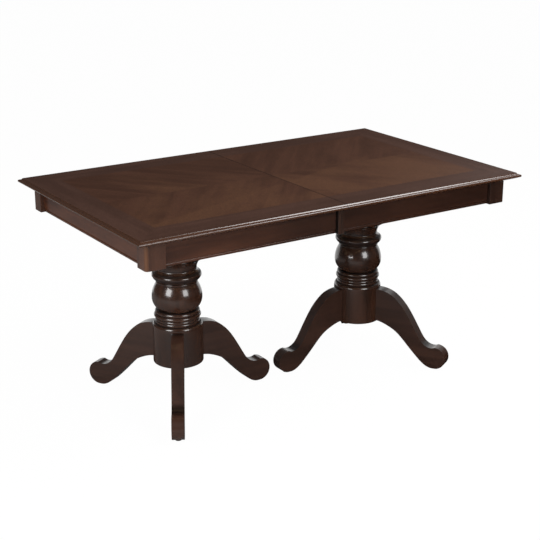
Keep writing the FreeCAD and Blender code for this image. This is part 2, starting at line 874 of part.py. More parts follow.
def make_lock(face):
    """A hooked lever that hangs from its bracket, and swings up round the keeper's pin."""
    y = face * lock_y
    save("lock_bracket_" + FACE_NAMES[face], lock_bracket(-lock_pivot_setback, y))
    pivot = V(-lock_pivot_setback, y, lock_pin_z)
    y_range = around(y, lever_thickness)
    bar_top = lock_pin_z - lock_pin_radius - hook_clearance
    bar_bottom = bar_top - lever_bar_height
    wall_start = pivot.x + lock_reach + lock_pin_radius + hook_clearance
    wall_end = wall_start + hook_wall
    lever = rod(lever_boss_radius, V(pivot.x, y_range[0], pivot.z), V(pivot.x, y_range[1], pivot.z))
    lever = lever.fuse(block((pivot.x - lock_pin_radius, wall_end), y_range, (bar_bottom, bar_top)))
    lever = lever.fuse(block((wall_start, wall_end), y_range, (bar_bottom, lock_pin_z + hook_rise)))
    tab = block(
        (wall_end, wall_end + finger_tab_length),
        y_range,
        (bar_bottom, bar_bottom + finger_tab_height),
    )
    lever = lever.fuse(tab)
    hole_radius = lock_pin_radius + lock_pin_clearance
    lever = lever.cut(rod(hole_radius, V(pivot.x, 0, pivot.z), V(pivot.x, face * table_width, pivot.z)))
    lever.rotate(pivot, Y_AXIS, 90)
    save("lock_lever_" + FACE_NAMES[face], lever.removeSplitter())


def make_keepers():
    """The keepers on the right half, one for each lock."""
    save("lock_keepers", *[lock_bracket(keeper_setback, face * lock_y) for face in (FRONT, BACK)])


for side in (LEFT, RIGHT):
    make_top(side)
    make_aprons(side)
    make_glue_blocks(side)
    make_cleat(side)
    make_board(side)
    make_column(side)
    make_tie_rod(side)
    make_legs(side)
    make_crossbar(side)
    for face in (FRONT, BACK):
        make_post(side, face)
        make_seam_block(side, face)
        make_side_rail(side, face)
        make_rack(side, face)
for face in (FRONT, BACK):
    make_centre_rail(face)
    make_pinion(face)
    make_lock(face)
make_alignment_pins()
make_axles()
make_pegs()
make_leaf()
make_keepers()
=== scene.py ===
import math

import bpy
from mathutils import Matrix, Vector


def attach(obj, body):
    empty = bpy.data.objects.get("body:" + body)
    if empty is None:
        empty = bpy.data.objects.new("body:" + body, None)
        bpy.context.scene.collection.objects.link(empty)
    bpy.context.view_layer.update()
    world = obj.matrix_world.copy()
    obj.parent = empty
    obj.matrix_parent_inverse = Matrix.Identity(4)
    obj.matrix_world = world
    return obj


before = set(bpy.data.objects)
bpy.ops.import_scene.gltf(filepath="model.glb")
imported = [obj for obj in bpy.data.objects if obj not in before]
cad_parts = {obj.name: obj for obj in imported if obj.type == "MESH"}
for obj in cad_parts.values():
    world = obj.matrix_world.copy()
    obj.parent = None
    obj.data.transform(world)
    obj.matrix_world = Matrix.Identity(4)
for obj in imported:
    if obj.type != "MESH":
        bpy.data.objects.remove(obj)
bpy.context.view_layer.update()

scene = bpy.context.scene
scene.view_settings.view_transform = "Standard"
mm = 0.001


# The camera stands at the table's left front corner, a little above the top, and looks slightly down.
# Its place and lens were worked out from the corners, posts and feet in the photograph.
camera_azimuth = -33.194
camera_elevation = 18.642
camera_distance = 4577.8 * mm
aim = Vector((12.7, 29.2, 400.0)) * mm
sensor = 36.0
lens_share = 2.3315
farthest_seen = 60.0


def toward(azimuth, elevation):
    """The direction from the table to something seen at this azimuth and elevation, in degrees."""
    turn, rise = math.radians(azimuth), math.radians(elevation)
    return Vector((math.sin(turn) * math.cos(rise), -math.cos(turn) * math.cos(rise), math.sin(rise)))


def stand_off(thing, azimuth, elevation, away):
    """Stands a lamp or camera off from the table, facing it."""
    out = toward(azimuth, elevation)
    thing.location = aim + out * away
    thing.rotation_mode = "QUATERNION"
    thing.rotation_quaternion = (-out).to_track_quat("-Z", "Y")


camera = bpy.data.objects.new("camera", bpy.data.cameras.new("camera"))
scene.collection.objects.link(camera)
camera.data.sensor_width = sensor
camera.data.lens = sensor * lens_share
camera.data.clip_end = farthest_seen
stand_off(camera, camera_azimuth, camera_elevation, camera_distance)
scene.camera = camera


# Two upright soft boxes stand in front of the table, and their glow shows twice on each turned bulb.
# A wide one hangs overhead to the right and draws the light line along the moulded edge, and a small
# dim one beyond the right end lifts the backs of the legs.

# Each box: azimuth and elevation in degrees, distance and size in metres, power in watts.
soft_boxes = {
    "left_soft_box": (-72, 24, 3.6, (1.35, 1.9), 80),
    "right_soft_box": (6, 24, 3.6, (1.35, 1.9), 66),
    "overhead_soft_box": (58, 54, 3.4, (2.2, 1.2), 96),
    "rear_soft_box": (110, 33, 3.4, (1.3, 1.1), 5),
}


def area_lamp(name, azimuth, elevation, away, size, power):
    """A flat lamp that faces the table."""
    lamp = bpy.data.lights.new(name, "AREA")
    lamp.shape = "RECTANGLE"
    lamp.size, lamp.size_y = size
    lamp.energy = power
    box = bpy.data.objects.new(name, lamp)
    scene.collection.objects.link(box)
    stand_off(box, azimuth, elevation, away)
    return box


for name, settings in soft_boxes.items():
    area_lamp(name, *settings)


# A low white card stands close behind the table. It only shows in gloss: along the tops of the legs
# and feet and on the rims of the columns. It is too low to show in the table top.
card_stand = (147, -1.6, 1.1, (3.2, 0.72), 6.5)

white_card = area_lamp("white_card", *card_stand)
white_card.visible_camera = False
white_card.visible_diffuse = False


# The room is a white studio. What the camera sees of it is plain white, and what falls on the table
# from it is soft and dim, so that the dark finish keeps its depth.
room_light = 0.45
room_in_gloss = 0.06


def put(tree, kind, **settings):
    """Adds a shader node with its settings."""
    node = tree.nodes.new(kind)
    for name, value in settings.items():
        setattr(node, name, value)
    return node


def plug(tree, socket, value):
    """Links a socket to another, or gives it a plain value."""
    if isinstance(value, bpy.types.NodeSocket):
        tree.links.new(value, socket)
    elif value is not None:
        socket.default_value = value


def calc(tree, operation, first, second=None, third=None):
    """One step of arithmetic on sockets or numbers."""
    node = put(tree, "ShaderNodeMath", operation=operation)
    for socket, value in zip(node.inputs, (first, second, third)):
        plug(tree, socket, value)
    return node.outputs[0]


room = bpy.data.worlds.new("white_room")
scene.world = room
room.use_nodes = True
tree = room.node_tree
tree.nodes.clear()
rays = put(tree, "ShaderNodeLightPath")
strength = calc(tree, "MULTIPLY_ADD", rays.outputs["Is Camera Ray"], 1.0 - room_light, room_light)
strength = calc(tree, "MULTIPLY_ADD", rays.outputs["Is Glossy Ray"], room_in_gloss - room_light, strength)
sky = put(tree, "ShaderNodeBackground")
sky.inputs["Color"].default_value = (1, 1, 1, 1)
plug(tree, sky.inputs["Strength"], strength)
tree.links.new(sky.outputs[0], put(tree, "ShaderNodeOutputWorld").inputs["Surface"])


# The floor is a wide sheet of matt white paper. It keeps the table's soft shadow, and past the right
# front corner it is out of the lamps' reach, so less of it shows in the gloss of the front apron.
paper_size = 30.0
paper_white = 0.8
paper_glow = 0.98
paper_in_gloss = (0.0, 0.28)
paper_fade = (0.9, -1.5)

half = paper_size / 2
mesh = bpy.data.meshes.new("floor")
points = [(-half, -half, 0), (half, -half, 0), (half, half, 0), (-half, half, 0)]
mesh.from_pydata(points, [], [(0, 1, 2, 3)])
floor = bpy.data.objects.new("floor", mesh)
scene.collection.objects.link(floor)
paper = bpy.data.materials.new("white_paper")
paper.use_nodes = True
tree = paper.node_tree
tree.nodes.clear()
rays = put(tree, "ShaderNodeLightPath")
place = put(tree, "ShaderNodeTexCoord")
axes = put(tree, "ShaderNodeSeparateXYZ")
plug(tree, axes.inputs[0], place.outputs["Object"])
reach = put(tree, "ShaderNodeMapRange", interpolation_type="SMOOTHSTEP")
plug(tree, reach.inputs["Value"], axes.outputs["X"])
reach.inputs["From Min"].default_value, reach.inputs["From Max"].default_value = paper_fade
reach.inputs["To Min"].default_value, reach.inputs["To Max"].default_value = paper_in_gloss
gloss = calc(tree, "SUBTRACT", reach.outputs[0], paper_white)
paleness = calc(tree, "MULTIPLY_ADD", rays.outputs["Is Glossy Ray"], gloss, paper_white)
matt = put(tree, "ShaderNodeBsdfDiffuse")
plug(tree, matt.inputs["Color"], paleness)
glow = put(tree, "ShaderNodeEmission")
glow.inputs["Color"].default_value = (1, 1, 1, 1)
glow.inputs["Strength"].default_value = 1.0
choice = put(tree, "ShaderNodeMixShader")
plug(tree, choice.inputs["Fac"], calc(tree, "MULTIPLY", rays.outputs["Is Camera Ray"], paper_glow))
tree.links.new(matt.outputs[0], choice.inputs[1])
tree.links.new(glow.outputs[0], choice.inputs[2])
tree.links.new(choice.outputs[0], put(tree, "ShaderNodeOutputMaterial").inputs["Surface"])
mesh.materials.append(paper)


# Each column is turned from a block glued up of staves, stained espresso and lacquered to a soft shine.
# The grooves between the beads and the bulb are painted near black and left matt. This is mostly painted
# shade, with a little dark glaze.
column_dark = (0.017, 0.0066, 0.0035, 1)
column_light = (0.04, 0.0155, 0.0082, 1)
shade_and_glaze_colour = (0.005, 0.0022, 0.0014, 1)
column_places = {"left": -390 * mm, "right": 390 * mm}
turned_range = (270 * mm, 540 * mm)
turned_finish = {"coat_roughness": 0.06, "pore_depth": 0.15}
face_roughness, groove_roughness = 0.24, 0.55
face_coat, groove_coat = 0.6, 0.05
coat_fades = (0.0, 0.8)

# Each groove: its height and half its width in mm, and how dark it is painted, as shade with a little
# glaze.
shaded_grooves = (
    (297.5, 3, 0.9), (308, 2.4, 0.8), (317.2, 2.6, 0.85), (332.6, 2.6, 0.85), (346, 4, 0.95),
    (443.6, 2.2, 0.8), (452, 3, 0.9), (464, 9, 0.75), (481, 6, 0.85), (497, 4, 0.6),
)

# The grain: how often streaks, slow drifts of tone and pores come in a metre, along and across it.
streak_scale = (1.8, 26, 26)
drift_scale = (2.6, 7, 7)
pore_scale = (60, 760, 760)
streak_share = 0.62
tone_range = (0.36, 0.66)
pore_range = (0.55, 0.7)
pore_filler = (0.006, 0.003, 0.002, 1)
pore_roughness = 0.25
pore_bump = (0.3, 0.25 * mm)


def group(name, inputs, outputs):
    """A shader node group with named inputs and outputs."""
    made = bpy.data.node_groups.new(name, "ShaderNodeTree")
    for label, kind, default in inputs:
        socket = made.interface.new_socket(label, in_out="INPUT", socket_type=kind)
        if default is not None:
            socket.default_value = default
    for label, kind in outputs:
        made.interface.new_socket(label, in_out="OUTPUT", socket_type=kind)
    return made, made.nodes.new("NodeGroupInput"), made.nodes.new("NodeGroupOutput")


def spots(tree, vector, scale, detail=2.0, roughness=0.5, distortion=0.0):
    """Noise stretched by a scale for each axis."""
    sized = put(tree, "ShaderNodeMapping")
    sized.inputs["Scale"].default_value = scale
    plug(tree, sized.inputs["Vector"], vector)
    noise = put(tree, "ShaderNodeTexNoise")
    noise.inputs["Scale"].default_value = 1.0
    noise.inputs["Detail"].default_value = detail
    noise.inputs["Roughness"].default_value = roughness
    noise.inputs["Distortion"].default_value = distortion
    plug(tree, noise.inputs["Vector"], sized.outputs[0])
    return noise.outputs["Fac"]


def spread(tree, value, low, high, bottom=0.0, top=1.0):
    """Stretches a value softly between two limits."""
    ramp = put(tree, "ShaderNodeMapRange", interpolation_type="SMOOTHSTEP")
    plug(tree, ramp.inputs["Value"], value)
    ramp.inputs["From Min"].default_value = low
    ramp.inputs["From Max"].default_value = high
    ramp.inputs["To Min"].default_value = bottom
    ramp.inputs["To Max"].default_value = top
    return ramp.outputs[0]


def blend_colours(tree, share, first, second):
    """Mixes two colours."""
    mix = put(tree, "ShaderNodeMix", data_type="RGBA", blend_type="MIX")
    plug(tree, mix.inputs["Factor"], share)
    plug(tree, mix.inputs[6], first)
    plug(tree, mix.inputs[7], second)
    return mix.outputs[2]


wood_grain, given, result = group(
    "wood_grain",
    [
        ("Vector", "NodeSocketVector", None),
        ("Dark", "NodeSocketColor", (0.02, 0.01, 0.008, 1)),
        ("Light", "NodeSocketColor", (0.08, 0.04, 0.02, 1)),
        ("Pore Depth", "NodeSocketFloat", 0.4),
    ],
    [("Color", "NodeSocketColor"), ("Pores", "NodeSocketFloat"), ("Streaks", "NodeSocketFloat")],
)
cut = given.outputs["Vector"]
streaks = spots(wood_grain, cut, streak_scale, detail=6.0, roughness=0.62, distortion=0.4)
drift = spots(wood_grain, cut, drift_scale, detail=3.0)
pores = spread(wood_grain, spots(wood_grain, cut, pore_scale), *pore_range)
drift = calc(wood_grain, "MULTIPLY", drift, 1.0 - streak_share)
tone = spread(wood_grain, calc(wood_grain, "MULTIPLY_ADD", streaks, streak_share, drift), *tone_range)
depth = calc(wood_grain, "MULTIPLY", pores, given.outputs["Pore Depth"])
colour = blend_colours(wood_grain, tone, given.outputs["Dark"], given.outputs["Light"])
colour = blend_colours(wood_grain, depth, colour, pore_filler)
plug(wood_grain, result.inputs["Color"], colour)
plug(wood_grain, result.inputs["Pores"], depth)
plug(wood_grain, result.inputs["Streaks"], tone)


def wood(name, turn, place, dark, light, roughness=0.3, coat=0.4, coat_roughness=0.1, pore_depth=0.35):
    """Wood with its grain along X after the turn, cut at its own place in the plank, so that no two look
    alike. Returns the material, its shader, its grain and its coordinates.
    """
    made = bpy.data.materials.new(name)
    made.use_nodes = True
    tree = made.node_tree
    shader = tree.nodes["Principled BSDF"]
    spot = put(tree, "ShaderNodeTexCoord")
    turned = put(tree, "ShaderNodeMapping")
    turned.inputs["Rotation"].default_value = [math.radians(angle) for angle in turn]
    turned.inputs["Location"].default_value = place
    plug(tree, turned.inputs["Vector"], spot.outputs["Object"])
    grain = put(tree, "ShaderNodeGroup", node_tree=wood_grain)
    plug(tree, grain.inputs["Vector"], turned.outputs[0])
    grain.inputs["Dark"].default_value = dark
    grain.inputs["Light"].default_value = light
    grain.inputs["Pore Depth"].default_value = pore_depth
    plug(tree, shader.inputs["Base Color"], grain.outputs["Color"])
    rough = spread(tree, grain.outputs["Pores"], 0, 1, roughness, roughness + pore_roughness)
    plug(tree, shader.inputs["Roughness"], rough)
    bump = put(tree, "ShaderNodeBump", invert=True)
    bump.inputs["Strength"].default_value, bump.inputs["Distance"].default_value = pore_bump
    plug(tree, bump.inputs["Height"], grain.outputs["Pores"])
    plug(tree, shader.inputs["Normal"], bump.outputs[0])
    shader.inputs["Coat Weight"].default_value = coat
    shader.inputs["Coat Roughness"].default_value = coat_roughness
    return made, shader, grain, spot


def dress(name, material):
    """Gives a carried-over CAD node its material."""
    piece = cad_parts[name]
    piece.data.materials.clear()
    piece.data.materials.append(material)
    return piece


for side, across in column_places.items():
    turned_wood, shader, grain, spot = wood(
        "turned_wood_" + side, (0, 90, 0), (0.3 + across, 0.2, 0),
        column_dark, column_light, **turned_finish
    )
    tree = turned_wood.node_tree
    height = put(tree, "ShaderNodeSeparateXYZ")
    plug(tree, height.inputs[0], spot.outputs["Object"])
    share = put(tree, "ShaderNodeMapRange")
    plug(tree, share.inputs["Value"], height.outputs["Z"])
    share.inputs["From Min"].default_value, share.inputs["From Max"].default_value = turned_range
    groove_shade = put(tree, "ShaderNodeValToRGB")
    stops = groove_shade.color_ramp.elements
    stops[0].color = stops[1].color = (0, 0, 0, 1)
    span = (turned_range[1] - turned_range[0]) / mm
    for middle, reach, strength in shaded_grooves:
        for offset, amount in ((-reach, 0), (0, strength), (reach, 0)):
            stop = stops.new((middle + offset - turned_range[0] / mm) / span)
            stop.color = (amount, amount, amount, 1)
    plug(tree, groove_shade.inputs["Fac"], share.outputs[0])
    # Painted shade, with a little glaze, darkens the grain in the grooves.
    colour = blend_colours(tree, groove_shade.outputs["Color"], grain.outputs["Color"], shade_and_glaze_colour)
    plug(tree, shader.inputs["Base Color"], colour)
    rough = spread(tree, groove_shade.outputs["Color"], 0.0, 1.0, face_roughness, groove_roughness)
    plug(tree, shader.inputs["Roughness"], rough)
    coat = spread(tree, groove_shade.outputs["Color"], *coat_fades, face_coat, groove_coat)
    plug(tree, shader.inputs["Coat Weight"], coat)
    dress("column_" + side, turned_wood)


# Each leg is sawn from a thick plank to an S, its edges eased, and bolted to the drum.
# Six alike: the grain runs along the plank. Their upward faces are painted darker as painted shade. The
# shade is strongest in the dip before the foot and where the leg meets the drum, under the shadow of the
# column's ring.
leg_dark = (0.021, 0.0085, 0.005, 1)
leg_light = (0.04, 0.0165, 0.01, 1)
leg_finish = {"roughness": 0.28, "coat": 0.5, "coat_roughness": 0.08, "pore_depth": 0.12}
leg_easing = 2.6
leg_shade_colour = (0.003, 0.0013, 0.0009, 1)
dip_starts, dip_ends = (262 * mm, 285 * mm), (300 * mm, 322 * mm)
root_ends = (94 * mm, 120 * mm)
dip_shade, root_shade, least_shade = 0.9, 0.85, 0.15
turned_up = (0.15, 0.5)
leg_angles = {
    "left_front": -120, "left_inner": 0, "left_back": 120,
    "right_front": -60, "right_inner": 180, "right_back": 60,
}

# What counts as joined and as flat before the edges are eased, and from what angle an edge is sharp.
joined_within = 0.01 * mm
flat_within = 0.3
sharp_from = 35


def ease(piece, radius, segments=2):
    """Takes the sharp edges off a CAD node."""
    weld = piece.modifiers.new("join", "WELD")
    weld.merge_threshold = joined_within
    flat = piece.modifiers.new("plain_faces", "DECIMATE")
    flat.decimate_type = "DISSOLVE"
    flat.angle_limit = math.radians(flat_within)
    edge = piece.modifiers.new("eased_edges", "BEVEL")
    edge.width = radius * mm
    edge.segments = segments
    edge.limit_method = "ANGLE"
    edge.angle_limit = math.radians(sharp_from)
    piece.modifiers.new("even_shading", "WEIGHTED_NORMAL")
    return piece


for name, angle in leg_angles.items():
    leg_wood, shader, grain, spot = wood(
        "leg_wood_" + name, (0, 0, -angle), (angle * 0.03, 0, 0.4), leg_dark, leg_light, **leg_finish
    )
    tree = leg_wood.node_tree
    axes = put(tree, "ShaderNodeSeparateXYZ")
    plug(tree, axes.inputs[0], spot.outputs["Object"])
    along = calc(tree, "SUBTRACT", calc(tree, "ABSOLUTE", axes.outputs["X"]), column_places["right"])
    across = axes.outputs["Y"]
    squares = calc(tree, "MULTIPLY_ADD", along, along, calc(tree, "MULTIPLY", across, across))
    away = calc(tree, "SQRT", squares)
    dip = spread(tree, away, *dip_ends, dip_shade, 0.0)
    dip = calc(tree, "MULTIPLY", spread(tree, away, *dip_starts), dip)
    root = spread(tree, away, *root_ends, root_shade, 0.0)
    facing = put(tree, "ShaderNodeSeparateXYZ")
    plug(tree, facing.inputs[0], put(tree, "ShaderNodeNewGeometry").outputs["Normal"])
    upper = spread(tree, facing.outputs["Z"], *turned_up)
    # Painted shade on the upward faces: strongest in the dip and at the root by the drum, a little
    # everywhere else.
    shade_mask = calc(tree, "MAXIMUM", calc(tree, "MAXIMUM", dip, root), least_shade)
    shade_mask = calc(tree, "MULTIPLY", upper, shade_mask)
    colour = blend_colours(tree, shade_mask, grain.outputs["Color"], leg_shade_colour)
    plug(tree, shader.inputs["Base Color"], colour)
    ease(dress("leg_" + name, leg_wood), leg_easing, segments=3)


# A round glide under each foot keeps the wood off the floor. It is moulded in dark brown nylon
# and screwed into the foot.
glide_colour = (0.03, 0.018, 0.012, 1)
glide_scuff = (0.09, 0.07, 0.055, 1)
rub_scale = (30, 30, 30)
rub_range = (0.5, 0.75)
rub_share = 0.5
sheen_range = (0.3, 0.7)
moulded_roughness = (0.36, 0.55)
skin_scale = (1400, 1400, 1400)
skin_strength = 0.25

moulded_skin, given, result = group(
    "moulded_skin",
    [
        ("Vector", "NodeSocketVector", None),
        ("Plain", "NodeSocketColor", (0.5, 0.5, 0.5, 1)),
        ("Scuffed", "NodeSocketColor", (0.7, 0.7, 0.7, 1)),
    ],
    [("Color", "NodeSocketColor"), ("Roughness", "NodeSocketFloat"), ("Height", "NodeSocketFloat")],
)
clouds = spots(moulded_skin, given.outputs["Vector"], rub_scale, detail=4.0)
fine = spots(moulded_skin, given.outputs["Vector"], skin_scale, detail=2.0)
rubs = spread(moulded_skin, clouds, *rub_range, 0.0, rub_share)
colour = blend_colours(moulded_skin, rubs, given.outputs["Plain"], given.outputs["Scuffed"])
plug(moulded_skin, result.inputs["Color"], colour)
rough = spread(moulded_skin, clouds, *sheen_range, *moulded_roughness)
plug(moulded_skin, result.inputs["Roughness"], rough)
plug(moulded_skin, result.inputs["Height"], fine)


def skinned(name, skin, first, second, height, metallic=0.0, rough=None):
    """A moulded or brushed material. The node group gives its skin, and height is how high that stands."""
    made = bpy.data.materials.new(name)
    made.use_nodes = True
    tree = made.node_tree
    shader = tree.nodes["Principled BSDF"]
    shader.inputs["Metallic"].default_value = metallic
    spot = put(tree, "ShaderNodeTexCoord")
    face = put(tree, "ShaderNodeGroup", node_tree=skin)
    plug(tree, face.inputs["Vector"], spot.outputs["Object"])
    face.inputs[1].default_value = first
    face.inputs[2].default_value = second
    if rough is not None:
        face.inputs["Rough"].default_value = rough
    plug(tree, shader.inputs["Base Color"], face.outputs["Color"])
    plug(tree, shader.inputs["Roughness"], face.outputs["Roughness"])
    bump = put(tree, "ShaderNodeBump")
    bump.inputs["Strength"].default_value = skin_strength
    bump.inputs["Distance"].default_value = height
    plug(tree, bump.inputs["Height"], face.outputs["Height"])
    plug(tree, shader.inputs["Normal"], bump.outputs[0])
    return made


glide_nylon = skinned("glide_nylon", moulded_skin, glide_colour, glide_scuff, 0.1 * mm)
for side in column_places:
    dress("glides_" + side, glide_nylon)


# Two bolts hold each leg to the drum, and a long tie rod with nuts runs up the middle of each column.
# They are bright zinc-plated steel, made in standard sizes.
zinc_bright = (0.62, 0.63, 0.66, 1)
zinc_dull = (0.4, 0.4, 0.41, 1)
zinc_finish = {"height": 0.05 * mm, "metallic": 1.0, "rough": 0.28}
patch_scale = (45, 45, 45)
patch_range = (0.4, 0.68)
brush_scale = (90, 900, 900)
brush_roughness = 0.25

brushed_metal, given, result = group(
    "brushed_metal",
    [
        ("Vector", "NodeSocketVector", None),
        ("Bright", "NodeSocketColor", (0.7, 0.7, 0.7, 1)),
        ("Dull", "NodeSocketColor", (0.4, 0.4, 0.4, 1)),
        ("Rough", "NodeSocketFloat", 0.3),
    ],
    [("Color", "NodeSocketColor"), ("Roughness", "NodeSocketFloat"), ("Height", "NodeSocketFloat")],
)
patches = spots(brushed_metal, given.outputs["Vector"], patch_scale, detail=5.0, roughness=0.65)
lines = spots(brushed_metal, given.outputs["Vector"], brush_scale, detail=3.0)
stain = spread(brushed_metal, patches, *patch_range)
colour = blend_colours(brushed_metal, stain, given.outputs["Bright"], given.outputs["Dull"])
plug(brushed_metal, result.inputs["Color"], colour)
rough = calc(brushed_metal, "MULTIPLY_ADD", lines, brush_roughness, given.outputs["Rough"])
plug(brushed_metal, result.inputs["Roughness"], rough)
plug(brushed_metal, result.inputs["Height"], lines)

bolt_zinc = skinned("bolt_zinc", brushed_metal, zinc_bright, zinc_dull, **zinc_finish)
for side in column_places:
    dress("leg_bolts_" + side, bolt_zinc)
    dress("tie_rod_" + side, bolt_zinc)


# A thick board under each half of the top carries its column. Like the slides above it, it is hidden
# wood: planed birch, sanded and left without stain.
birch_dark = (0.33, 0.21, 0.115, 1)
birch_light = (0.56, 0.4, 0.245, 1)
birch_finish = {"roughness": 0.55, "coat": 0.0, "pore_depth": 0.25}
planed_easing = 1.2

for at, side in enumerate(column_places, 4):
    board_wood = wood(
        "board_birch_" + side, (0, 0, 90), (0.1, at, 0), birch_dark, birch_light, **birch_finish
    )[0]
    ease(dress("pedestal_board_" + side, board_wood), planed_easing)


# The geared slides: a centre rail and two side rails at the front and at the back, tongue in groove.
# They are straight-grained maple, waxed where they run.
maple_dark = (0.42, 0.27, 0.15, 1)
maple_light = (0.66, 0.48, 0.3, 1)
maple_finish = {"roughness": 0.42, "coat": 0.12, "coat_roughness": 0.25, "pore_depth": 0.2}
rails = (
    "rail_left_front", "rail_right_front", "centre_rail_front",
    "rail_left_back", "rail_right_back", "centre_rail_back",
)

for at, name in enumerate(rails):
    rail_wood = wood(
        name + "_maple", (0, 0, 0), (at * 0.7, at * 0.3, 0), maple_dark, maple_light, **maple_finish
    )[0]
    dress(name, rail_wood)


# A toothed rack is screwed to each side rail, and a pinion on a steel axle turns between the two.
# Racks and pinions are moulded in natural nylon and the axles are plain steel.
nylon_colour = (0.68, 0.64, 0.54, 1)
nylon_scuff = (0.52, 0.48, 0.4, 1)
nylon_milkiness = (0.15, 4 * mm)
axle_bright = (0.5, 0.5, 0.52, 1)
axle_dull = (0.3, 0.29, 0.28, 1)
steel_finish = {"height": 0.04 * mm, "metallic": 1.0, "rough": 0.22}

gear_nylon = skinned("gear_nylon", moulded_skin, nylon_colour, nylon_scuff, 0.08 * mm)
shader = gear_nylon.node_tree.nodes["Principled BSDF"]
for socket, value in zip(("Subsurface Weight", "Subsurface Scale"), nylon_milkiness):
    shader.inputs[socket].default_value = value
for face in ("front", "back"):
    for name in ("rack_left_", "rack_right_", "pinion_"):
        dress(name + face, gear_nylon)
axle_steel = skinned("axle_steel", brushed_metal, axle_bright, axle_dull, **steel_finish)
dress("pinion_axles", axle_steel)


# Two crossbars join the centre rails from below and carry the stored leaf. They are planed from the
# birch of the boards and screwed to the rails.
for at, side in enumerate(column_places):
    bar_wood = wood(
        "crossbar_birch_" + side, (0, 0, 90), (at * 0.9, 0.4, 0.2),
        birch_dark, birch_light, **birch_finish
    )[0]
    ease(dress("crossbar_" + side, bar_wood), planed_easing)


# The spare leaf folds in two and lies on the crossbars, face to face. Its panels are veneered like the
# top, and the grain runs across the table.
leaf_dark = (0.034, 0.0125, 0.006, 1)
leaf_light = (0.082, 0.034, 0.0165, 1)
leaf_finish = {"roughness": 0.3, "coat": 0.4, "coat_roughness": 0.12}

for at, level in enumerate(("lower", "upper")):
    leaf_veneer = wood(
        "leaf_veneer_" + level, (0, 0, 90), (at * 0.8, 0.6, 0), leaf_dark, leaf_light, **leaf_finish
    )[0]
    dress("leaf_panel_" + level, leaf_veneer)


# Three hinges, let in flush with the fold, join the two panels of the leaf. They are rolled brass,
# brushed and gone a little dull.
brass_bright = (0.78, 0.55, 0.22, 1)
brass_dull = (0.46, 0.3, 0.12, 1)
brass_finish = {"height": 0.05 * mm, "metallic": 1.0, "rough": 0.3}

hinge_brass = skinned("hinge_brass", brushed_metal, brass_bright, brass_dull, **brass_finish)
dress("leaf_hinges", hinge_brass)


# Two headed pegs go up through the crossbars and keep the leaf in its place. They are turned from
# beech and left bare.
beech_dark = (0.4, 0.22, 0.12, 1)
beech_light = (0.6, 0.38, 0.22, 1)
beech_finish = {"roughness": 0.5, "coat": 0.0, "pore_depth": 0.4}

peg_wood = wood("peg_beech", (0, 90, 0), (0.2, 0.1, 0), beech_dark, beech_light, **beech_finish)[0]
dress("leaf_pegs", peg_wood)


# Cleats and glue blocks stiffen the top from below and hold the aprons square to it.
# They are sawn from birch offcuts, glued and screwed, and left rough.
cleat_finish = {"roughness": 0.62, "coat": 0.0, "pore_depth": 0.3}
block_finish = {"roughness": 0.65, "coat": 0.0, "pore_depth": 0.35}
cleat_easing = 1.0
glue_block_easing = 0.8

for at, side in enumerate(column_places):
    cleat_wood = wood(
        "cleat_birch_" + side, (0, 0, 90), (at * 1.3, 0.7, 0.1), birch_dark, birch_light, **cleat_finish
    )[0]
    ease(dress("end_cleat_" + side, cleat_wood), cleat_easing)
    block_wood = wood(
        "glue_block_birch_" + side, (0, 0, 0), (at * 1.7, 0.2, 0.5),
        birch_dark, birch_light, **block_finish
    )[0]
    ease(dress("glue_blocks_" + side, block_wood), glue_block_easing)


# The aprons hang under the top, set back from the posts. Each is a plank with its lower edge rounded,
# stained and lacquered like the columns, with the grain lying along it. Toward the seam and over the right
# half the colour is painted darker. This is painted shade, since less light falls on the right.
apron_dark = (0.033, 0.0092, 0.0032, 1)
apron_light = (0.074, 0.023, 0.0088, 1)
right_shade_colour = (0.0035, 0.0011, 0.0006, 1)
right_shade_span = (-520 * mm, -120 * mm)
right_shade_share = 0.55
satin_finish = {"roughness": 0.34, "coat": 0.3, "coat_roughness": 0.16}
apron_easing = 0.8
aprons = {
    "front_apron_left": 0, "front_apron_right": 0, "back_apron_left": 0, "back_apron_right": 0,
    "end_apron_left": 90, "end_apron_right": 90,
}


def paint_right_shade(tree, spot, colour):
    """Paints shade toward the seam and over the right half, where less light falls."""
    axes = put(tree, "ShaderNodeSeparateXYZ")
    plug(tree, axes.inputs[0], spot.outputs["Object"])
    share = spread(tree, axes.outputs["X"], *right_shade_span, 0.0, right_shade_share)
    return blend_colours(tree, share, colour, right_shade_colour)


for at, (name, turn) in enumerate(aprons.items()):
    apron_wood, shader, grain, spot = wood(
        name + "_wood", (0, 0, turn), (at * 0.9, at * 0.37, 0.3), apron_dark, apron_light, **satin_finish
    )
    tree = apron_wood.node_tree
    plug(tree, shader.inputs["Base Color"], paint_right_shade(tree, spot, grain.outputs["Color"]))
    ease(dress(name, apron_wood), apron_easing)


# A post stands at each corner, proud of the aprons, with its outer edge rounded. The grain runs upright,
# and the stain is rubbed thin on the rounded edge, where it shows more orange.
post_dark = (0.025, 0.009, 0.0048, 1)
post_light = (0.066, 0.0245, 0.0125, 1)
rubbed_colour = (0.085, 0.03, 0.0085, 1)
post_corner = (722 * mm, 417 * mm)
rub_reach = (5 * mm, 13 * mm)
least_rubbed = 0.4
post_easing = 1.0
quarters = ("front_left", "front_right", "back_left", "back_right")

